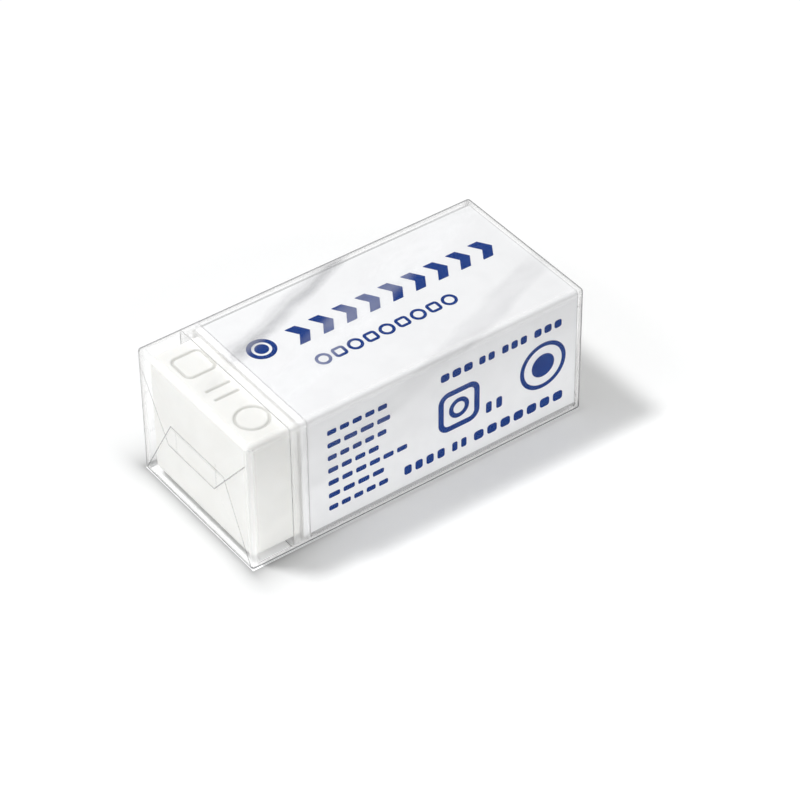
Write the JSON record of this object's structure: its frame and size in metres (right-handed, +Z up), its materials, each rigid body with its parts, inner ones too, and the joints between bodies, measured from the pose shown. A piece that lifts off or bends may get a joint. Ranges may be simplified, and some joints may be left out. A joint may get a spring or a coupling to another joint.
{
  "type": "vinyl eraser",
  "caption": "Small white vinyl eraser block in a printed card sleeve, sealed in clear film with folded ends and a tear strip.",
  "frame": {"origin": "centre of the underside of the film wrap, on the surface the eraser lies on", "axes": "+X along the length, away from the end where the block is bare; -Y is the front, with the printed side panel; +Z up"},
  "size_m": [0.0342, 0.016, 0.0132],
  "materials": {
    "vinyl": "soft matte white vinyl",
    "card": "white coated card printed in deep blue",
    "film": "clear glossy polypropylene film",
    "strip": "clear glossy tear tape"
  },
  "bodies": {
    "root": {"eraser_block": "vinyl", "card_sleeve": "card", "film_wrap": "film", "tear_strip": "strip"}
  },
  "joints": []
}
